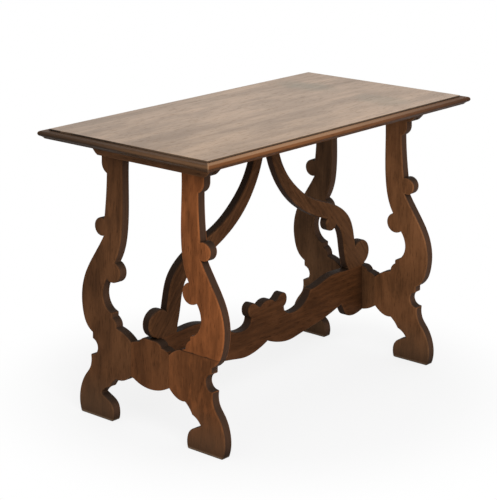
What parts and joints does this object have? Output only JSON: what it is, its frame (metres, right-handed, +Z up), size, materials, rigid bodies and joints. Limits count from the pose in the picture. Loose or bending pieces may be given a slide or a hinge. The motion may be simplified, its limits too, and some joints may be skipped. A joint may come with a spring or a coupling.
{
  "type": "trestle table",
  "caption": "Small walnut trestle table in the Baroque manner: splayed lyre legs, crested stretcher, scrolled braces up to the middle, flat top with a moulded edge.",
  "frame": {"origin": "on the floor under the middle of the top", "axes": "+X along the top from the left trestle to the right one, +Y from front to back, +Z up"},
  "size_m": [0.95, 0.51, 0.683],
  "materials": {
    "walnut": "old waxed walnut, worn lighter at the arrises",
    "faded_walnut": "faded and polished walnut boards",
    "moulded_walnut": "planed moulding, waxed",
    "beech": "plain turned dowel",
    "steel": "dull steel wood screw"
  },
  "bodies": {
    "root": {"top_board_wide": "faded_walnut", "top_board_back": "faded_walnut", "moulding_front": "moulded_walnut", "moulding_back": "moulded_walnut", "moulding_left": "moulded_walnut", "moulding_right": "moulded_walnut", "bearer_left": "walnut", "bearer_right": "walnut", "leg_left_front": "walnut", "leg_left_back": "walnut", "leg_right_front": "walnut", "leg_right_back": "walnut", "cross_block_left": "walnut", "cross_block_right": "walnut", "stretcher": "walnut", "brace_left": "walnut", "brace_right": "walnut", "board_dowels": "beech", "block_dowels_left": "beech", "block_dowels_right": "beech", "brace_foot_dowels": "beech", "brace_head_dowels": "beech", "tenon_pegs": "walnut", "top_screws": "steel"}
  },
  "joints": []
}
